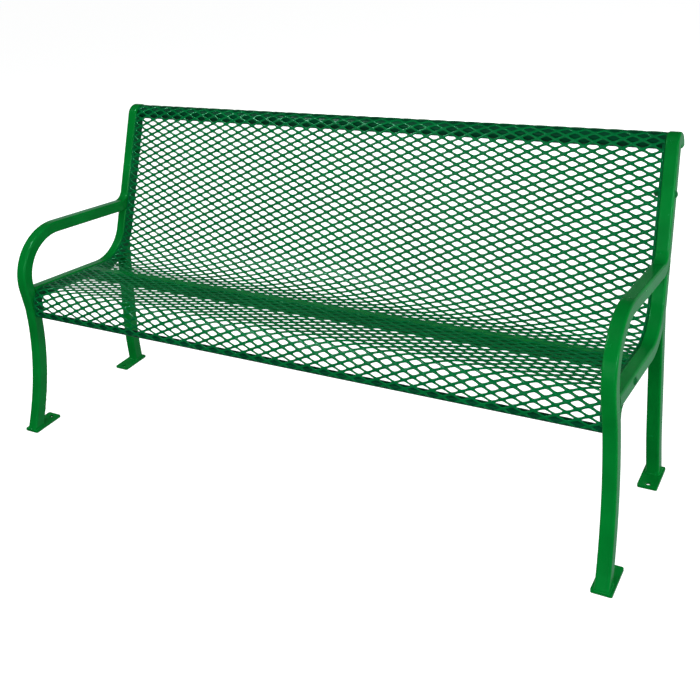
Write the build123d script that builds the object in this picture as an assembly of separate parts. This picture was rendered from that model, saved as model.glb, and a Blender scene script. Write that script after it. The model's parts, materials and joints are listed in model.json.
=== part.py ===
from build123d import *

# Park bench with a back: two bent-tube end frames carrying one formed expanded-metal panel.
#
# Millimetres, +Z up, +X along the bench, +Y towards the back of the bench.
# The origin is on the floor, at the middle of the bench's overall length and depth.
# Outlines are drawn in the side plane (Y across, Z up) with Y counted from the front edge
# of the front foot plates; everything is moved to the origin just before export.
from math import cos, radians, sin, tan
import os

# ---------------------------------------------------------------- end frames
frame_length = 1828.8         # over the outer faces of the two end frames, 72 in
tube = 34.9                   # square tube, 1 3/8 in
tube_corner = 6.0             # outside corner radius
wall = 2.6
bend_radius = 137.3           # centreline radius of the arm bend and the seat bend

# ---------------------------------------------------------------- foot plates
plate_width = 50.8
plate_length = 101.6
plate_thickness = 6.35
plate_corner = 5.0
foot_span = 515.0             # front edge of a front plate to back edge of a rear plate
anchor_hole = 12.7
anchor_inset = 16.0           # hole centre from the free end of its plate

# ---------------------------------------------------------------- front tube: leg, armrest, back post
leg_sweep_radius = 873.0      # slow curve of the lower leg
leg_foot_lean = 25.0          # degrees off vertical at the floor
leg_foot_y = 21.8             # tube centreline on top of the front plate
leg_knee_radius = 118.0
leg_knee_angle = 5.9
leg_upper_run = 59.0
arm_fall = 7.3                # degrees the armrest drops towards the back
back_bend_radius = 52.0       # centreline radius where the armrest turns up the back
post_lean = 22.2              # degrees off vertical
hook_radius = 19.0            # centreline radius of the rolled top of the post
hook_run = 5.0
cap_thickness = 2.6

# ---------------------------------------------------------------- seat bar, turning up under the armrest
seat_fall = 6.9               # degrees the seat drops towards the back
seat_bar_start = Vector(98.5, 430.8)
seat_bar_run = 303.0
back_rise = 390.3             # straight back, from the seat bend to the rolled top
seat_bar_stop = 16.0          # its coped end stops this far below the end of the armrest's bend

# ---------------------------------------------------------------- rear leg
rear_leg_y = 490.6
rear_leg_upright = 59.0
rear_leg_radius = 680.0
rear_leg_lean = 6.5
rear_leg_run = 330.0          # runs on into the seat bar and is coped to it

# ---------------------------------------------------------------- mesh panel and the parts that stiffen it
sheet = 3.0
side_bar_thickness = 6.35
side_bar_depth = 30.0
rim_rod = 19.0
rim_centre = Vector(104.7, 360.5)
rim_wrap = 40.0               # degrees the sheet follows the rim rod under its front
nose_radius = 49.0            # over the outside of the seat's front roll
top_rail = 44.5               # pipe tucked up under the crown of the roll
top_rail_wall = 3.0
top_return_run = 5.0
seat_tube_y = 344.4           # centre of the square tube across the back of the seat, under the mesh

# ---------------------------------------------------------------- fasteners
bolt_shank = 9.5
bolt_clearance = 0.4
bolt_head = 21.0
bolt_head_height = 5.0
bolt_tail = 3.0               # thread standing proud of the nut
washer_diameter = 23.0
washer_thickness = 1.8
nut_across_flats = 14.3
nut_height = 8.3
seat_bolt_y = 240.0
back_bolt_z = 725.0

# ---------------------------------------------------------------- derived positions
half_length = frame_length / 2
tube_x = half_length - tube / 2
inner_face = half_length - tube
post_heading = 90.0 - post_lean
post_turn = post_heading + seat_fall
hook_turn = post_heading + 90.0


def side_path(start, heading, moves):
    """Chain straight runs and tangent arcs in the side plane.

    A move is ("run", length) or ("turn", radius, degrees); degrees are positive to the left.
    Returns them as one wire.
    """
    edges = []
    point = start
    for move in moves:
        direction = Vector(cos(radians(heading)), sin(radians(heading)))
        if move[0] == "run":
            edge = Line(point, point + direction * move[1])
        else:
            edge = JernArc(point, direction, move[1], move[2])
            heading += move[2]
        edges.append(edge)
        point = edge @ 1
    return Plane.YZ * Wire(edges)


def square_tube(path, solid=False):
    """Rounded square tube along a side-plane path, centred on X = 0."""
    section = RectangleRounded(tube, tube, tube_corner)
    if not solid:
        bore = tube - 2 * wall
        section -= RectangleRounded(bore, bore, tube_corner - wall)
    start = Plane(origin=path @ 0, x_dir=(1, 0, 0), z_dir=path % 0)
    return sweep(start * section, path=path)


def flat_strip(path, width, thickness):
    """Flat section along a side-plane path: width along X, thickness across the path."""
    start = Plane(origin=path @ 0, x_dir=(1, 0, 0), z_dir=path % 0)
    return sweep(start * Rectangle(width, thickness), path=path)


def cross_rod(centre, diameter, length):
    """Round rod along X through a side-plane point."""
    return Plane.YZ * Pos(centre.X, centre.Y, -length / 2) * extrude(Circle(diameter / 2), length)


# ---------------------------------------------------------------- side-plane paths
seat_axis = Vector(cos(radians(seat_fall)), -sin(radians(seat_fall)))
seat_normal = Vector(sin(radians(seat_fall)), cos(radians(seat_fall)))
post_axis = Vector(sin(radians(post_lean)), cos(radians(post_lean)))
post_normal = Vector(-cos(radians(post_lean)), sin(radians(post_lean)))
arm_axis = Vector(cos(radians(arm_fall)), -sin(radians(arm_fall)))

seat_bend_start = seat_bar_start + seat_axis * seat_bar_run
seat_bend_end = seat_bend_start + seat_normal * bend_radius - post_normal * bend_radius
hook_start = seat_bend_end + post_axis * back_rise
hook_centre = hook_start - post_normal * hook_radius
rail_centre = hook_centre + Vector(0, hook_radius + tube / 2 - sheet - top_rail / 2)

# the armrest's straight run ends where the tight bend has to begin to come onto the back line
leg_to_arm = [
    ("run", tube),
    ("turn", leg_sweep_radius, leg_foot_lean),
    ("turn", leg_knee_radius, leg_knee_angle),
    ("run", leg_upper_run),
    ("turn", bend_radius, -(90.0 + leg_knee_angle + arm_fall)),
]
leg_axis = Vector(sin(radians(leg_foot_lean)), cos(radians(leg_foot_lean)))
leg_start = Vector(leg_foot_y, plate_thickness) - leg_axis * tube
arm_start = side_path(leg_start, 90.0 - leg_foot_lean, leg_to_arm) @ 1
to_back_line = hook_start - Vector(arm_start.Y, arm_start.Z)
corner_along_arm = to_back_line.dot(post_normal) / arm_axis.dot(post_normal)
corner = Vector(arm_start.Y, arm_start.Z) + arm_axis * corner_along_arm
back_turn = post_heading + arm_fall
bend_tangent = back_bend_radius * tan(radians(back_turn / 2))

front_path = side_path(
    leg_start,
    90.0 - leg_foot_lean,
    leg_to_arm
    + [
        ("run", corner_along_arm - bend_tangent),
        ("turn", back_bend_radius, back_turn),
        ("run", (hook_start - corner).length - bend_tangent),
        ("turn", hook_radius, -hook_turn),
        ("run", hook_run),
    ],
)
seat_bar_rise = back_rise - (hook_start - corner).length + bend_tangent - seat_bar_stop
seat_bar_path = side_path(
    seat_bar_start,
    -seat_fall,
    [
        ("run", seat_bar_run),
        ("turn", bend_radius, post_turn),
        ("run", seat_bar_rise),
    ],
)
rear_leg_path = side_path(
    Vector(rear_leg_y, plate_thickness),
    90.0,
    [
        ("run", rear_leg_upright),
        ("turn", rear_leg_radius, -rear_leg_lean),
        ("run", rear_leg_run),
    ],
)


def seat_centre_z(y):
    """Height of the seat bar's centreline over its straight part."""
    return seat_bar_start.Y - (y - seat_bar_start.X) * tan(radians(seat_fall))


def panel_path(depth, with_edges):
    """Side path a given depth below the panel's outer face; the face is flush with the tubes."""
    below_centre = depth - tube / 2
    front = rim_centre.X - rim_rod / 2 - sheet + depth
    nose = nose_radius - depth
    nose_y = front + nose
    nose_z = seat_centre_z(nose_y) - (below_centre + nose) / cos(radians(seat_fall))
    seat_run = (seat_bend_start - Vector(nose_y, nose_z)).dot(seat_axis)
    body = [
        ("run", nose_z - rim_centre.Y),
        ("turn", nose, -(90.0 + seat_fall)),
        ("run", seat_run),
        ("turn", bend_radius + below_centre, post_turn),
        ("run", back_rise),
    ]
    if not with_edges:
        rod_top = rim_centre.Y + rim_rod / 2
        body[0] = ("run", nose_z - rod_top)
        return side_path(Vector(front, rod_top), 90.0, body)
    wrap_radius = rim_rod / 2 + sheet - depth
    under = Vector(-cos(radians(rim_wrap)), -sin(radians(rim_wrap)))
    wrap = [("turn", wrap_radius, -rim_wrap)]
    roll = [("turn", hook_radius - below_centre, -hook_turn), ("run", top_return_run)]
    return side_path(rim_centre + under * wrap_radius, 90.0 + rim_wrap, wrap + body + roll)


# ---------------------------------------------------------------- end-frame pieces, centred on X = 0
def largest_solid(shape):
    return shape.solids().sort_by(SortBy.VOLUME)[-1]


seat_bar_cope = flat_strip(front_path, 2 * tube, tube)
seat_bar_solid = square_tube(seat_bar_path, solid=True)
below_plate_top = Pos(0, 0, plate_thickness / 2 - tube) * Box(4 * tube, 8 * tube, plate_thickness + 2 * tube)

front_tube = largest_solid(square_tube(front_path) - below_plate_top)
seat_bar = largest_solid(square_tube(seat_bar_path) - seat_bar_cope)
rear_leg = largest_solid(square_tube(rear_leg_path) - seat_bar_solid)
hook_end = Plane(origin=front_path @ 1, x_dir=(1, 0, 0), z_dir=front_path % 1)
post_cap = hook_end * extrude(RectangleRounded(tube, tube, tube_corner), cap_thickness)

foot_outline = RectangleRounded(plate_width, plate_length, plate_corner)
front_hole_y = plate_length - anchor_inset
rear_hole_y = foot_span - plate_length + anchor_inset


def foot_plate(centre_y, hole_y):
    plate = Pos(0, centre_y, 0) * extrude(foot_outline, plate_thickness)
    return plate - Pos(0, hole_y, 0) * extrude(Circle(anchor_hole / 2), plate_thickness)


front_foot = foot_plate(plate_length / 2, front_hole_y)
rear_foot = foot_plate(foot_span - plate_length / 2, rear_hole_y)

# ---------------------------------------------------------------- panel, its side bars and cross members
mesh_panel = flat_strip(panel_path(sheet / 2, True), 2 * inner_face, sheet)
side_bar = flat_strip(panel_path(sheet + side_bar_depth / 2, False), side_bar_thickness, side_bar_depth)
rim = cross_rod(rim_centre, rim_rod, 2 * inner_face)
rail = cross_rod(rail_centre, top_rail, 2 * inner_face)
side_bar -= rail
seat_tube_length = 2 * (inner_face - side_bar_thickness)
seat_tube_centre = Vector(seat_tube_y, seat_centre_z(seat_tube_y) - sheet / cos(radians(seat_fall)))
rail -= cross_rod(rail_centre, top_rail - 2 * top_rail_wall, 2 * inner_face)

seat_tube_plane = Plane(
    origin=(-seat_tube_length / 2, seat_tube_centre.X, seat_tube_centre.Y),
    x_dir=(0, seat_axis.X, seat_axis.Y),
    z_dir=(1, 0, 0),
)
tube_bore = tube - 2 * wall
seat_tube_outline = RectangleRounded(tube, tube, tube_corner) - RectangleRounded(tube_bore, tube_bore, tube_corner - wall)
seat_tube = seat_tube_plane * extrude(seat_tube_outline, seat_tube_length)

# ---------------------------------------------------------------- bolt sets, drawn for the right-hand end
back_bolt_y = hook_start.X - (hook_start.Y - back_bolt_z) * tan(radians(post_lean))
bolt_points = [(seat_bolt_y, seat_centre_z(seat_bolt_y)), (back_bolt_y, back_bolt_z)]
bar_face = inner_face - side_bar_thickness
nut_face = bar_face - washer_thickness
tail_x = nut_face - nut_height - bolt_tail


def at_bolt(point, x):
    """Local frame on a bolt axis: local Z runs along +X, outwards."""
    return Plane(origin=(x, point[0], point[1]), x_dir=(0, 1, 0), z_dir=(1, 0, 0))


def bolt(point):
    head_radius = ((bolt_head / 2) ** 2 + bolt_head_height**2) / (2 * bolt_head_height)
    dome = Pos(0, 0, bolt_head_height - head_radius) * Sphere(head_radius)
    dome &= extrude(Circle(bolt_head / 2), bolt_head_height)
    shank = extrude(Circle(bolt_shank / 2), half_length - tail_x)
    return at_bolt(point, half_length) * dome + at_bolt(point, tail_x) * shank


def washer(point):
    ring = Circle(washer_diameter / 2) - Circle(bolt_shank / 2 + bolt_clearance / 2)
    return at_bolt(point, nut_face) * extrude(ring, washer_thickness)


def nut(point):
    hexagon = RegularPolygon(nut_across_flats / 2, 6, major_radius=False)
    ring = hexagon - Circle(bolt_shank / 2 + bolt_clearance / 2)
    return at_bolt(point, nut_face - nut_height) * extrude(ring, nut_height)


def bolt_holes(x, length):
    """Cutters for the clearance holes of both bolts of an end."""
    drill = Circle((bolt_shank + bolt_clearance) / 2)
    return [at_bolt(point, x) * extrude(drill, length) for point in bolt_points]


for cutter in bolt_holes(-tube / 2, tube):
    seat_bar -= cutter
    front_tube -= cutter
for cutter in bolt_holes(-side_bar_thickness / 2, side_bar_thickness):
    side_bar -= cutter

# ---------------------------------------------------------------- placing and export
depth = post_cap.bounding_box().max.Y
hook_back = front_tube.bounding_box().max.Y
to_origin = Pos(0, -max(depth, hook_back) / 2, 0)

end_pieces = {
    "front_tube": (front_tube, tube_x),
    "seat_bar": (seat_bar, tube_x),
    "rear_leg": (rear_leg, tube_x),
    "post_cap": (post_cap, tube_x),
    "front_foot": (front_foot, tube_x),
    "rear_foot": (rear_foot, tube_x),
    "side_bar": (side_bar, inner_face - side_bar_thickness / 2),
}
pieces = {}
for name, (shape, x) in end_pieces.items():
    pieces[name + "_left"] = Pos(-x, 0, 0) * shape
    pieces[name + "_right"] = Pos(x, 0, 0) * shape
pieces["mesh_panel"] = mesh_panel
pieces["rim_rod"] = rim
pieces["top_rail"] = rail
pieces["seat_tube"] = seat_tube

for name, maker in {"carriage_bolts": bolt, "washers": washer, "hex_nuts": nut}.items():
    right = [maker(point) for point in bolt_points]
    left = [item.mirror(Plane.YZ) for item in right]
    pieces[name] = Compound(children=right + left)

os.makedirs("parts", exist_ok=True)
for name, shape in pieces.items():
    placed = to_origin * shape
    placed.label = name
    export_step(placed, f"parts/{name}.step")
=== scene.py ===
import json
import math

import bmesh
import bpy
import numpy as np
from mathutils import Matrix, Vector


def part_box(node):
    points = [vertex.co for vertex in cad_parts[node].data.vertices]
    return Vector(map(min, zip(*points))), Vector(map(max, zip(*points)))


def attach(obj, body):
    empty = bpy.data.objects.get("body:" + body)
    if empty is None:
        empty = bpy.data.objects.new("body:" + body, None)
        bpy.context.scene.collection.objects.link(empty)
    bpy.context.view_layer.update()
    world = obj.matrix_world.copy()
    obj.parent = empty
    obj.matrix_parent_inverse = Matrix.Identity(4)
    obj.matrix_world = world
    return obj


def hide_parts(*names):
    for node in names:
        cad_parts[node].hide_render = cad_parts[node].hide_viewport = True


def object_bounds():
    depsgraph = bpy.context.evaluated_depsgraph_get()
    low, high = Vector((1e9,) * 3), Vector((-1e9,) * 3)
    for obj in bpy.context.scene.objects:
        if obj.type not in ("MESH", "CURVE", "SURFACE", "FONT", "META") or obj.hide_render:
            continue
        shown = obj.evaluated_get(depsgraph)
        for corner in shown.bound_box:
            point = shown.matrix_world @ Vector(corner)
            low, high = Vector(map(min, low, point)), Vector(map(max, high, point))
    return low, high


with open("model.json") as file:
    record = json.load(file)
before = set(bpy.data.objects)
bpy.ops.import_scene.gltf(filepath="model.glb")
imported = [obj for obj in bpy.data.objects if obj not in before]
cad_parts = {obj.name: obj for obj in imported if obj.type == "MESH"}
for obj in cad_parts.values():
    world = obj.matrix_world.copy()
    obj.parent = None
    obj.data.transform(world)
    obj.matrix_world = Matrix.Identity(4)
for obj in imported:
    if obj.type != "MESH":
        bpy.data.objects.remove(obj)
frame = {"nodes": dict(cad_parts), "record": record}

cad_low, cad_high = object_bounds()

MM = 0.001
NODES = frame["nodes"]

# ------------------------------------------------------------------ driving dimensions
TUBE = 34.9 * MM
TUBE_CORNER = 6.0 * MM
SHEET = 3.0 * MM
SEAT_FALL = math.radians(6.9)
POST_LEAN = math.radians(22.2)
BEND_RADIUS = 137.3 * MM
BACK_RISE = 390.3 * MM
HOOK_RADIUS = 19.0 * MM
NOSE_RADIUS = 49.0 * MM
RIM_ROD = 19.0 * MM
RIM_WRAP = math.radians(40.0)
STRAND_WRAP = math.radians(14.0)  # the cut strands end this far under the rod's front
RETURN_RUN = 5.0 * MM

# points on the face of the panel, behind and above the front edge of the front foot plates
BACK_POINT = (610.1 * MM, 689.6 * MM)
SEAT_POINT = (295.5 * MM, 424.5 * MM)

# ------------------------------------------------------------------ expanded metal
LONG_PITCH = 50.80 * MM         # of the diamonds, along the bench
ROW_PITCH = 24.62 * MM          # of the diamonds, up the sheet
HOLE_HALF_LONG = 0.318          # of the long pitch
HOLE_HALF_SHORT = 0.286         # of the row pitch
HOLE_POWER = 1.26               # 1 is a diamond, 2 an ellipse
STRAND_HALF_DEPTH = 1.9 * MM    # with its coating
STRAND_TILT = 0.6 * MM          # rise of a knuckle's edge over its middle
MESH_DEPTH = 4.0 * MM           # of the strands' middle below the sheet's face
CORNER_STEPS = 4                # samples over a quarter of a hole
SIDE_GAP = 0.4 * MM
CUT_DISTANCE = 1e-7             # points nearer than this to a cut lie on it
END_MARGIN = 1e-4               # rows kept clear of the panel's first and last edge
PATH_SAMPLES = 2001
MERGE_GRID = 800                # points in one cell of this grid, per pitch, are one point
MERGE_DEPTH_GRID = 1e6          # the same per metre of depth

# phase of the diamonds: the column number at X = 0, and the row numbers at BACK_POINT and
# at SEAT_POINT, the second without the whole rows between them
COLUMN_PHASE = -0.2076
BACK_ROW = 8.3211
SEAT_ROW = 6.311

POST_AXIS = Vector((0, math.sin(POST_LEAN), math.cos(POST_LEAN)))
POST_NORMAL = Vector((0, -math.cos(POST_LEAN), math.sin(POST_LEAN)))
SEAT_AXIS = Vector((0, math.cos(SEAT_FALL), -math.sin(SEAT_FALL)))
SEAT_NORMAL = Vector((0, math.sin(SEAT_FALL), math.cos(SEAT_FALL)))


def middle(node):
    low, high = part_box(node)
    return (low + high) / 2


# ------------------------------------------------------------------ the panel's side path
def turn_about(direction, angle):
    """A direction in the side plane turned from +Y towards +Z."""
    return Matrix.Rotation(angle, 3, "X") @ direction


def panel_moves(depth):
    """Start point, heading and moves of the panel's side path, a given depth under its face."""
    below = depth - TUBE / 2
    rod = middle("rim_rod")
    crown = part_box("top_rail")[1].z + SHEET
    hook = Vector((0, middle("top_rail").y, crown - HOOK_RADIUS - TUBE / 2))
    hook_start = hook + POST_NORMAL * HOOK_RADIUS
    bend_end = hook_start - POST_AXIS * BACK_RISE
    bend_start = bend_end - SEAT_NORMAL * BEND_RADIUS + POST_NORMAL * BEND_RADIUS
    nose = NOSE_RADIUS - depth
    nose_y = rod.y - RIM_ROD / 2 - SHEET + NOSE_RADIUS
    fall = (nose_y - bend_start.y) * math.tan(SEAT_FALL)
    nose_z = bend_start.z - fall - (below + nose) / math.cos(SEAT_FALL)
    seat_run = (bend_start - Vector((0, nose_y, nose_z))).dot(SEAT_AXIS)
    wrap = RIM_ROD / 2 + SHEET - depth
    start = rod - Vector((0, math.cos(RIM_WRAP), math.sin(RIM_WRAP))) * wrap
    right_angle = math.pi / 2
    post_heading = right_angle - POST_LEAN
    return start, right_angle + RIM_WRAP, [
        (None, wrap, -RIM_WRAP),
        (nose_z - rod.z, 0, 0),
        (None, nose, -(right_angle + SEAT_FALL)),
        (seat_run, 0, 0),
        (None, BEND_RADIUS + below, post_heading + SEAT_FALL),
        (BACK_RISE, 0, 0),
        (None, HOOK_RADIUS - below, -(post_heading + right_angle)),
        (RETURN_RUN, 0, 0),
    ]


class SidePath:
    """Straight runs and tangent arcs in the side plane, read by the distance along them."""

    def __init__(self, start, heading, moves):
        self.parts = []
        self.length = 0.0
        point = start
        for run, radius, turn in moves:
            direction = turn_about(Vector((0, 1, 0)), heading)
            left = turn_about(direction, math.pi / 2)
            if run is None:
                side = math.copysign(1.0, turn)
                size = radius * abs(turn)
                centre = point + left * radius * side
                self.parts.append((self.length, point, heading, centre, radius, side))
                heading += turn
                point = centre + turn_about(point - centre, turn)
            else:
                size = run
                self.parts.append((self.length, point, heading, None, 0.0, 0.0))
                point = point + direction * run
            self.length += size
        self.edges = [part[0] for part in self.parts] + [self.length]

    def place(self, distance, depth):
        """Points (Y, Z) at distances along the path and depths to the right of its heading."""
        y = np.zeros_like(distance)
        z = np.zeros_like(distance)
        number = np.searchsorted(self.edges, distance, "right") - 1
        number = np.clip(number, 0, len(self.parts) - 1)
        for index, (begin, point, heading, centre, radius, side) in enumerate(self.parts):
            chosen = number == index
            along = distance[chosen] - begin
            sunk = depth[chosen]
            if centre is None:
                cosine, sine = math.cos(heading), math.sin(heading)
                y[chosen] = point.y + along * cosine + sunk * sine
                z[chosen] = point.z + along * sine - sunk * cosine
            else:
                angle = heading + side * along / radius
                reach = radius + side * sunk
                y[chosen] = centre.y + side * reach * np.sin(angle)
                z[chosen] = centre.z - side * reach * np.cos(angle)
        return y, z


# ------------------------------------------------------------------ materials
COAT_IOR = 1.42
SPECULAR_TINT = (0.30, 1.0, 0.70, 1)
CLEAR_WEIGHT, CLEAR_ROUGHNESS = 0.06, 0.08
DRIFT_SCALE, HAZE_SCALE = 9.0, 45.0        # of the noise, per metre
DRIFT_LOW, DRIFT_HIGH = 0.32, 0.68
HAZE_LOW, HAZE_HIGH = 0.7, 1.5             # of the roughness
PEEL_DEPTH = 0.4 * MM


def green_coat(name, colour, roughness, peel, peel_size, streak=0.16, ior=COAT_IOR):
    """Glossy coating: slow colour drift, faint handling haze, and an orange-peel surface."""
    material = bpy.data.materials.new(name)
    material.use_nodes = True
    tree = material.node_tree
    tree.nodes.clear()
    add = tree.nodes.new
    link = tree.links.new
    out = add("ShaderNodeOutputMaterial")
    shader = add("ShaderNodeBsdfPrincipled")
    link(shader.outputs["BSDF"], out.inputs["Surface"])
    shader.inputs["Metallic"].default_value = 0.0
    shader.inputs["IOR"].default_value = ior
    shader.inputs["Specular Tint"].default_value = SPECULAR_TINT
    shader.inputs["Coat Weight"].default_value = CLEAR_WEIGHT
    shader.inputs["Coat Roughness"].default_value = CLEAR_ROUGHNESS
    where = add("ShaderNodeTexCoord")

    def noise(scale, detail, rough=0.5):
        node = add("ShaderNodeTexNoise")
        node.inputs["Scale"].default_value = scale
        node.inputs["Detail"].default_value = detail
        node.inputs["Roughness"].default_value = rough
        link(where.outputs["Object"], node.inputs["Vector"])
        return node.outputs["Fac"]

    drift = add("ShaderNodeValToRGB")
    dark = [c * (1 - streak) for c in colour]
    light = [min(1.0, c * (1 + 0.6 * streak)) for c in colour]
    drift.color_ramp.elements[0].position = DRIFT_LOW
    drift.color_ramp.elements[0].color = (*dark, 1)
    drift.color_ramp.elements[1].position = DRIFT_HIGH
    drift.color_ramp.elements[1].color = (*light, 1)
    link(noise(DRIFT_SCALE, 4.0), drift.inputs["Fac"])
    link(drift.outputs["Color"], shader.inputs["Base Color"])

    haze = add("ShaderNodeMapRange")
    haze.inputs["To Min"].default_value = roughness * HAZE_LOW
    haze.inputs["To Max"].default_value = roughness * HAZE_HIGH
    link(noise(HAZE_SCALE, 5.0, 0.6), haze.inputs["Value"])
    link(haze.outputs["Result"], shader.inputs["Roughness"])

    bump = add("ShaderNodeBump")
    bump.inputs["Strength"].default_value = peel
    bump.inputs["Distance"].default_value = PEEL_DEPTH
    link(noise(1.0 / peel_size, 2.0), bump.inputs["Height"])
    link(bump.outputs["Normal"], shader.inputs["Normal"])
    return material


FRAME_GREEN = (0.0005, 0.150, 0.019)
MESH_GREEN = (0.0005, 0.116, 0.028)
# painted shade: a darker green for the rim rod and top rail, in place of the shade they lie in
# behind the mesh
PAINTED_SHADE_GREEN = (0.0004, 0.042, 0.015)
# painted shade: a darker green for the side bars, in place of the shade they lie in behind the
# mesh
SIDE_BAR_PAINTED_SHADE_GREEN = (0.0005, 0.085, 0.022)
FASTENER_GREEN = (0.002, 0.075, 0.016)
SATIN_PEEL, FINE_PEEL, SMALL_PEEL = 2.4 * MM, 1.6 * MM, 0.9 * MM
coats = {
    coat_name: green_coat(coat_name, *look)
    for coat_name, look in {
        # colour, roughness, strength and size of the orange peel, and streak and IOR if special
        "frame_coat": (FRAME_GREEN, 0.22, 0.22, SATIN_PEEL),
        "mesh_coat": (MESH_GREEN, 0.20, 0.30, FINE_PEEL),
        # painted shade on the rim rod and top rail behind the mesh
        "painted_shade_coat": (PAINTED_SHADE_GREEN, 0.40, 0.30, SATIN_PEEL, 0.3, 1.25),
        # painted shade on the side bars behind the mesh
        "side_bar_painted_shade_coat": (SIDE_BAR_PAINTED_SHADE_GREEN, 0.34, 0.30, SATIN_PEEL, 0.3, 1.3),
        "fastener": (FASTENER_GREEN, 0.28, 0.30, SMALL_PEEL),
    }.items()
}
slot_of = {part["node"]: part["material_slot"] for part in frame["record"]["subparts"]}
# these lie behind the mesh and get a darker, duller coat: painted shade standing in for the
# shade that falls on them there
PAINTED_SHADE_BEHIND_MESH = {
    "rim_rod": "painted_shade_coat",
    "top_rail": "painted_shade_coat",
    "side_bar_left": "side_bar_painted_shade_coat",
    "side_bar_right": "side_bar_painted_shade_coat",
}
for node_name, node_object in NODES.items():
    coat = coats[PAINTED_SHADE_BEHIND_MESH.get(node_name, slot_of[node_name])]
    if len(node_object.data.materials):
        for index in range(len(node_object.data.materials)):
            node_object.data.materials[index] = coat
    else:
        node_object.data.materials.append(coat)


def piece_from(name, points, faces, coat):
    """A smooth-shaded piece that rides on the bench."""
    mesh = bpy.data.meshes.new(name)
    mesh.from_pydata(points, [], faces)
    mesh.update()
    mesh.polygons.foreach_set("use_smooth", [True] * len(mesh.polygons))
    made = bpy.data.objects.new(name, mesh)
    bpy.context.scene.collection.objects.link(made)
    mesh.materials.append(coats[coat])
    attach(made, "root")


# ------------------------------------------------------------------ the strand lattice
# share of the way from a strand's centreline to its edge, and share of the half depth
SECTION = [(0.0, -1.0), (0.60, -0.86), (1.0, 0.0), (0.60, 0.86), (0.0, 1.0)]


def hole_outline():
    """Centreline diamond and hole edge of one cell, in pitches from the hole's middle."""
    quarter = np.arange(CORNER_STEPS) / CORNER_STEPS
    centre_points = []
    edge_points = []
    for corner in range(4):
        for t in quarter:
            if corner % 2 == 0:
                along, up = 1 - t, t
            else:
                along, up = t, 1 - t
            angle = up * math.pi / 2
            edge_along = HOLE_HALF_LONG * math.cos(angle) ** (2 / HOLE_POWER)
            edge_up = HOLE_HALF_SHORT * math.sin(angle) ** (2 / HOLE_POWER)
            sign_along = 1 if corner in (0, 3) else -1
            sign_up = 1 if corner in (0, 1) else -1
            centre_points.append((sign_along * along / 2, sign_up * up / 2))
            edge_points.append((sign_along * edge_along, sign_up * edge_up))
    return np.array(centre_points), np.array(edge_points)


def lattice(columns, rows):
    """Strand mesh, merged where cells meet: points (column, row, depth in metres) and quads."""
    centre, edge = hole_outline()
    count = len(centre)
    rings = []
    tilt = -np.sign(edge[:, 1]) * np.sqrt(np.abs(edge[:, 1]) / HOLE_HALF_SHORT) * STRAND_TILT
    for out, depth in SECTION:
        flat = centre * (1 - out) + edge * out
        sunk = depth * STRAND_HALF_DEPTH - tilt * out
        rings.append(np.column_stack([flat, sunk]))
    cell = np.concatenate(rings)
    quads = []
    for ring in range(len(SECTION) - 1):
        for i in range(count):
            j = (i + 1) % count
            low, high = ring * count, (ring + 1) * count
            quads.append((low + i, low + j, high + j, high + i))
    quads = np.array(quads)
    holes = []
    for doubled_row in range(2 * rows[0], 2 * rows[1] + 1):
        for doubled_column in range(2 * columns[0], 2 * columns[1] + 1):
            if (doubled_row - doubled_column) % 2 == 0:
                holes.append((doubled_column / 2, doubled_row / 2, 0.0))
    holes = np.array(holes)
    points = (cell[None] + holes[:, None]).reshape(-1, 3)
    faces = (quads[None] + (np.arange(len(holes)) * len(cell))[:, None, None]).reshape(-1, 4)
    keys = np.round(points * [MERGE_GRID, MERGE_GRID, MERGE_DEPTH_GRID]).astype(np.int64)
    _, first, inverse = np.unique(keys, axis=0, return_index=True, return_inverse=True)
    return points[first], inverse.reshape(-1)[faces]


def trimmed(points, faces, low, high):
    """The lattice cut square at its four sheared edges, with the cut strands closed."""
    mesh = bpy.data.meshes.new("flat_sheet")
    mesh.from_pydata(points.tolist(), [], faces.tolist())
    work = bmesh.new()
    work.from_mesh(mesh)
    bpy.data.meshes.remove(mesh)
    for axis in (0, 1):
        for limit, sign in ((low[axis], -1), (high[axis], 1)):
            spot = [0.0, 0.0, 0.0]
            spot[axis] = limit
            normal = [0.0, 0.0, 0.0]
            normal[axis] = sign
            everything = work.verts[:] + work.edges[:] + work.faces[:]
            bmesh.ops.bisect_plane(
                work,
                geom=everything,
                dist=CUT_DISTANCE,
                plane_co=spot,
                plane_no=normal,
                clear_outer=True,
            )
            border = [e for e in work.edges if e.is_boundary]
            bmesh.ops.holes_fill(work, edges=border, sides=0)
    bmesh.ops.triangulate(work, faces=[f for f in work.faces if len(f.verts) > 4])
    bmesh.ops.recalc_face_normals(work, faces=work.faces[:])
    return work


# the parts of the panel's side path, as panel_moves lists them
WRAP_PART, SEAT_PART, BEND_PART, BACK_PART = 0, 3, 4, 5


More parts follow.
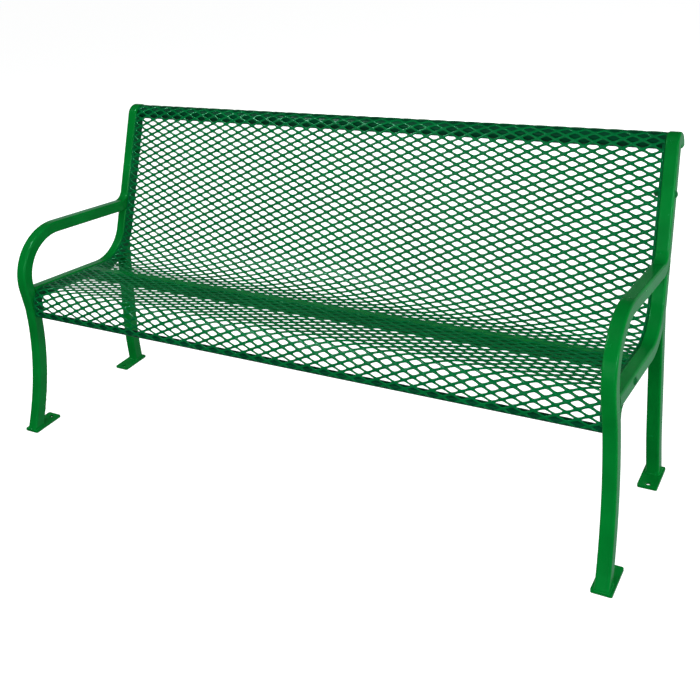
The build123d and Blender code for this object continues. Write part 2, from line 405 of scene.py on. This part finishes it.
def expanded_panel():
    """The expanded metal: the flat lattice, trimmed and laid along the panel's side path."""
    path = SidePath(*panel_moves(MESH_DEPTH))
    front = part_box("front_foot_left")[0].y
    bend_begin, bend_finish = path.edges[BEND_PART], path.edges[BACK_PART]

    def distance_of(point, part):
        begin, start, heading = path.parts[part][:3]
        return begin + (point - start).dot(turn_about(Vector((0, 1, 0)), heading))

    on_back = distance_of(Vector((0, front + BACK_POINT[0], BACK_POINT[1])), BACK_PART)
    on_seat = distance_of(Vector((0, front + SEAT_POINT[0], SEAT_POINT[1])), SEAT_PART)
    rows_between = (on_back - on_seat) / ROW_PITCH
    seat_rows = SEAT_ROW - round(rows_between - (BACK_ROW - SEAT_ROW))

    low_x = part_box("mesh_panel")[0].x + SIDE_GAP
    high_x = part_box("mesh_panel")[1].x - SIDE_GAP

    def row_at(distance):
        seat = seat_rows + (distance - on_seat) / ROW_PITCH
        back = BACK_ROW + (distance - on_back) / ROW_PITCH
        share = min(max((distance - bend_begin) / (bend_finish - bend_begin), 0.0), 1.0)
        return seat * (1 - share) + back * share

    wrap_radius = path.parts[WRAP_PART][4]
    cut = wrap_radius * (RIM_WRAP - STRAND_WRAP)
    samples = np.linspace(cut, path.length, PATH_SAMPLES)
    rows = np.array([row_at(s) for s in samples])
    columns = (low_x / LONG_PITCH + COLUMN_PHASE, high_x / LONG_PITCH + COLUMN_PHASE)
    points, faces = lattice(
        (math.floor(columns[0]), math.ceil(columns[1])),
        (math.floor(rows[0]), math.ceil(rows[-1])),
    )
    low_cut = (columns[0], rows[0] + END_MARGIN)
    high_cut = (columns[1], rows[-1] - END_MARGIN)
    work = trimmed(points, faces, low_cut, high_cut)
    flat = np.array([v.co for v in work.verts])
    x = (flat[:, 0] - COLUMN_PHASE) * LONG_PITCH
    distance = np.interp(flat[:, 1], rows, samples)
    y, z = path.place(distance, flat[:, 2])
    for vertex, place in zip(work.verts, np.column_stack([x, y, z])):
        vertex.co = place
    mesh = bpy.data.meshes.new("expanded_mesh")
    work.to_mesh(mesh)
    work.free()
    mesh.polygons.foreach_set("use_smooth", [True] * len(mesh.polygons))
    made = bpy.data.objects.new("expanded_mesh", mesh)
    bpy.context.scene.collection.objects.link(made)
    mesh.materials.append(coats["mesh_coat"])
    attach(made, "root")
    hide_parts("mesh_panel")


expanded_panel()


# ------------------------------------------------------------------ weld beads
BEAD = 3.2 * MM
BEAD_PITCH = 3.4 * MM
BEAD_SIDES = 10
BEAD_STEP = 0.55 * MM            # along the bead
BEAD_HEIGHT = 0.9                # of its size
BEAD_BASE, BEAD_RIPPLE, BEAD_DRIFT = 0.86, 0.16, 0.07
LONG_DRIFT, SHORT_DRIFT = 19 * MM, 7 * MM
ROUND_STEPS = 6                  # over each rounded corner
FOOT_BAND = 0.3 * MM             # points this near to the plate belong to the leg's foot


def rounded_loop(half_u, half_v, corner, step):
    """Points and outward directions round a rounded rectangle."""
    found = []
    corners = [(1, 1, 0.0), (-1, 1, 0.5), (-1, -1, 1.0), (1, -1, 1.5)]
    outline = []
    for su, sv, begin in corners:
        for i in range(ROUND_STEPS + 1):
            angle = (begin + 0.5 * i / ROUND_STEPS) * math.pi
            centre = Vector((su * (half_u - corner), sv * (half_v - corner)))
            outline.append(centre + corner * Vector((math.cos(angle), math.sin(angle))))
    total = len(outline)
    for i in range(total):
        here, there = outline[i], outline[(i + 1) % total]
        gap = there - here
        pieces = max(1, round(gap.length / step))
        for k in range(pieces):
            point = here + gap * (k / pieces)
            outward = Vector((gap.y, -gap.x)).normalized()
            found.append((point, outward))
    return found


def bead_ring(name, centre, u, v, half_u, half_v, up, seed):
    """A rippled bead round the foot of a tube, in the plane of u and v.

    It is flattened where it would stand out of the CAD model's box.
    """
    loop = rounded_loop(half_u, half_v, TUBE_CORNER, BEAD_STEP)
    travelled = 0.0
    rings = []
    phases = np.random.default_rng(seed).uniform(0, math.tau, 4)
    for i, (point, outward) in enumerate(loop):
        after = loop[(i + 1) % len(loop)][0]
        travelled += (after - point).length
        ripple = abs(math.sin(math.pi * travelled / BEAD_PITCH))
        drift = math.sin(travelled / LONG_DRIFT + phases[0])
        drift += math.sin(travelled / SHORT_DRIFT + phases[1])
        size = BEAD * (BEAD_BASE + BEAD_RIPPLE * ripple + BEAD_DRIFT * drift)
        base = centre + u * point.x + v * point.y
        away = u * outward.x + v * outward.y
        ring = []
        for k in range(BEAD_SIDES):
            angle = math.tau * k / BEAD_SIDES
            spot = base + away * size * math.cos(angle)
            spot += up * size * math.sin(angle) * BEAD_HEIGHT
            spot.y = max(spot.y, cad_low.y)
            ring.append(spot)
        rings.append(ring)
    points = [p for ring in rings for p in ring]
    faces = []
    for i in range(len(rings)):
        j = (i + 1) % len(rings)
        for k in range(BEAD_SIDES):
            m = (k + 1) % BEAD_SIDES
            here, there = i * BEAD_SIDES, j * BEAD_SIDES
            faces.append((here + k, here + m, there + m, there + k))
    piece_from(name, points, faces, "frame_coat")


def footprint(node, level):
    """Middle and half size of a leg's outline where it stands on its plate."""
    near = [v.co for v in NODES[node].data.vertices if abs(v.co.z - level) < FOOT_BAND]
    low = Vector(map(min, *near))
    high = Vector(map(max, *near))
    return (low + high) / 2, (high - low) / 2


X_AXIS, Y_AXIS, Z_AXIS = Vector((1, 0, 0)), Vector((0, 1, 0)), Vector((0, 0, 1))
for index, side in enumerate(("left", "right")):
    for number, node in enumerate((f"front_tube_{side}", f"rear_leg_{side}")):
        plate_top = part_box(f"front_foot_{side}")[1].z
        place, half = footprint(node, plate_top)
        place.z = plate_top
        seed = 10 * index + number
        bead_ring(f"weld_{node}", place, X_AXIS, Y_AXIS, half.x, half.y, Z_AXIS, seed)

# ------------------------------------------------------------------ fillets under the seat bars
LEG_REAR_FACE = 118.1 * MM      # from the front plates' front edge, where the seat bar meets it
SEAT_BAR_UNDER = 410.9 * MM     # height of the bar's underside there
LEG_TOP_LEAN = math.radians(5.9)
FILLET_REACH = 26.0 * MM
FILLET_STEPS = 10
FILLET_ROOT = 6 * MM             # its hidden edge lies this far inside the corner
# over half the width: share of the half width from the middle, and millimetres cut back
FILLET_EDGE = [(-1.0, 4.2), (-0.985, 2.6), (-0.93, 1.2), (-0.82, 0.3), (-0.66, 0.0)]


def seat_fillet(side):
    """Concave weld fillet in the corner between the leg's rear face and the bar's underside."""
    corner = Vector((0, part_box(f"front_foot_{side}")[0].y + LEG_REAR_FACE, SEAT_BAR_UNDER))
    down = Vector((0, math.sin(LEG_TOP_LEAN), -math.cos(LEG_TOP_LEAN)))
    half = down.angle(SEAT_AXIS) / 2
    radius = FILLET_REACH * math.tan(half)
    centre = corner + (down + SEAT_AXIS).normalized() * (radius / math.sin(half))
    begin = corner + down * FILLET_REACH - centre
    finish = corner + SEAT_AXIS * FILLET_REACH - centre
    turn = begin.angle(finish)
    axis = begin.cross(finish).normalized()
    low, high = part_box(f"seat_bar_{side}")
    middle_x, half_width = (low.x + high.x) / 2, (high.x - low.x) / 2
    rows = FILLET_EDGE + [(-x, cut) for x, cut in reversed(FILLET_EDGE)]
    into = (down + SEAT_AXIS).normalized()
    points = []
    for x, cut in rows:
        across = Vector((middle_x + x * half_width, 0, 0))
        shift = across - into * cut * MM
        points.append(corner - into * FILLET_ROOT + across)
        for k in range(FILLET_STEPS + 1):
            spoke = Matrix.Rotation(turn * k / FILLET_STEPS, 3, axis) @ begin
            points.append(centre + spoke + shift)
    width = FILLET_STEPS + 2
    faces = []
    for row in range(len(rows) - 1):
        for k in range(width):
            j = (k + 1) % width
            here, there = row * width, (row + 1) * width
            faces.append((here + k, here + j, there + j, there + k))
    faces.append(tuple(range(width)))
    faces.append(tuple(range((len(rows) - 1) * width, len(rows) * width))[::-1])
    piece_from(f"seat_fillet_{side}", points, faces, "frame_coat")


seat_fillet("left")
seat_fillet("right")

# ------------------------------------------------------------------ floor, light and camera
FLOOR_REACH = 14.0
FLOOR_GREY = (0.35, 0.35, 0.35, 1)
FLOOR_GLOW = 0.97
WHITE = (1, 1, 1, 1)
floor_mesh = bpy.data.meshes.new("floor")
floor_corners = [(-1, -1), (1, -1), (1, 1), (-1, 1)]
floor_points = [(x * FLOOR_REACH, y * FLOOR_REACH, 0) for x, y in floor_corners]
floor_mesh.from_pydata(floor_points, [], [(0, 1, 2, 3)])
floor = bpy.data.objects.new("floor", floor_mesh)
bpy.context.scene.collection.objects.link(floor)
floor_paint = bpy.data.materials.new("floor_paint")
floor_paint.use_nodes = True
floor_shader = floor_paint.node_tree.nodes["Principled BSDF"]
floor_shader.inputs["Base Color"].default_value = FLOOR_GREY
floor_shader.inputs["Roughness"].default_value = 0.9
floor_shader.inputs["Specular IOR Level"].default_value = 0.0
floor_shader.inputs["Emission Color"].default_value = WHITE
floor_shader.inputs["Emission Strength"].default_value = FLOOR_GLOW
floor_mesh.materials.append(floor_paint)
floor.visible_glossy = False
floor.visible_diffuse = False

# the camera sees white; other rays see a dark studio with a tinted backdrop low at the back
BACKDROP_TOP = (0.41, 0.27)       # from dark to full tint, as the sine of the elevation
BACKDROP_EDGE = (-0.35, 0.15)     # the same across the studio, from its front to its back
BACKDROP_TINT = (0.27, 0.38, 0.36, 1)
STUDIO_DARK = (0.012, 0.014, 0.013, 1)
world = bpy.data.worlds.new("studio")
bpy.context.scene.world = world
world.use_nodes = True
tree = world.node_tree
tree.nodes.clear()
world_out = tree.nodes.new("ShaderNodeOutputWorld")
background = tree.nodes.new("ShaderNodeBackground")
direction = tree.nodes.new("ShaderNodeTexCoord")
split = tree.nodes.new("ShaderNodeSeparateXYZ")
low = tree.nodes.new("ShaderNodeMapRange")
rear = tree.nodes.new("ShaderNodeMapRange")
both = tree.nodes.new("ShaderNodeMath")
both.operation = "MULTIPLY"
tone = tree.nodes.new("ShaderNodeMix")
tone.data_type = "RGBA"
rays = tree.nodes.new("ShaderNodeLightPath")
choose = tree.nodes.new("ShaderNodeMix")
choose.data_type = "RGBA"
low.inputs["From Min"].default_value, low.inputs["From Max"].default_value = BACKDROP_TOP
rear.inputs["From Min"].default_value, rear.inputs["From Max"].default_value = BACKDROP_EDGE
tone.inputs["A"].default_value = STUDIO_DARK
tone.inputs["B"].default_value = BACKDROP_TINT
tree.links.new(direction.outputs["Generated"], split.inputs["Vector"])
tree.links.new(split.outputs["Z"], low.inputs["Value"])
tree.links.new(split.outputs["Y"], rear.inputs["Value"])
tree.links.new(low.outputs["Result"], both.inputs[0])
tree.links.new(rear.outputs["Result"], both.inputs[1])
tree.links.new(both.outputs["Value"], tone.inputs["Factor"])
tree.links.new(rays.outputs["Is Camera Ray"], choose.inputs["Factor"])
tree.links.new(tone.outputs["Result"], choose.inputs["A"])
choose.inputs["B"].default_value = WHITE
tree.links.new(choose.outputs["Result"], background.inputs["Color"])
tree.links.new(background.outputs["Background"], world_out.inputs["Surface"])
bpy.context.scene.view_settings.view_transform = "Standard"


def soft_light(name, place, target, size, power, mirrored):
    """Area lamp; one that isn't mirrored lights the coat but shows no reflection in it."""
    data = bpy.data.lights.new(name, "AREA")
    data.shape = "RECTANGLE"
    data.size, data.size_y = size
    data.energy = power
    lamp = bpy.data.objects.new(name, data)
    bpy.context.scene.collection.objects.link(lamp)
    lamp.location = place
    lamp.rotation_mode = "QUATERNION"
    lamp.rotation_quaternion = (Vector(target) - Vector(place)).to_track_quat("-Z", "Y")
    lamp.visible_glossy = mirrored


AIM = (0, 0, 0.45)
# name, place, target, size, watts, and whether the coat mirrors it
LAMPS = [
    ("front", (0.9, -4.2, 1.5), AIM, (3.0, 1.6), 168, False),
    ("above", (-0.6, -0.6, 3.8), AIM, (2.6, 1.6), 30, False),
    ("side", (3.8, 0.2, 1.2), AIM, (1.6, 1.6), 96, False),
    ("rear", (-0.6, 4.2, 1.8), AIM, (3.0, 1.6), 150, False),
    ("far_side", (-3.8, 0.4, 1.2), AIM, (1.6, 1.6), 60, False),
    ("sparkle", (-1.9, -1.3, 3.2), AIM, (0.45, 0.45), 34, True),
    ("knuckles", (-1.2, -3.25, 1.65), (0.5, 0.25, 0.65), (1.3, 0.6), 9, True),
    ("sparkle_right", (3.1, -2.1, 1.6), (0.9, -0.2, 0.55), (0.3, 0.3), 16, True),
]
for lamp_settings in LAMPS:
    soft_light(*lamp_settings)

CAMERA_PLACE = Vector((1425.23, -2128.67, 1614.51)) * MM
YAW, PITCH, ROLL = 0.5471553, 0.3182395, -0.1001261
FOCAL = 984.334                  # pixels of a 700-pixel frame
HORIZON_ROW = 179.107            # of the principal point
FRAME_PIXELS = 700
SENSOR_WIDTH = 36.0
CLIP_NEAR, CLIP_FAR = 0.05, 60.0
level = Vector((math.cos(YAW), math.sin(YAW), 0))
ahead = Vector((-math.sin(YAW), math.cos(YAW), 0))
forward = ahead * math.cos(PITCH) - Vector((0, 0, math.sin(PITCH)))
above = level.cross(forward)
across = level * math.cos(ROLL) + above * math.sin(ROLL)
above = above * math.cos(ROLL) - level * math.sin(ROLL)
camera_data = bpy.data.cameras.new("camera")
camera = bpy.data.objects.new("camera", camera_data)
bpy.context.scene.collection.objects.link(camera)
camera_axes = Matrix((across, above, -forward)).transposed().to_4x4()
camera.matrix_world = Matrix.Translation(CAMERA_PLACE) @ camera_axes
camera_data.sensor_width = SENSOR_WIDTH
camera_data.lens = FOCAL / FRAME_PIXELS * camera_data.sensor_width
camera_data.shift_y = (HORIZON_ROW - FRAME_PIXELS / 2) / FRAME_PIXELS
camera_data.clip_start, camera_data.clip_end = CLIP_NEAR, CLIP_FAR
bpy.context.scene.camera = camera
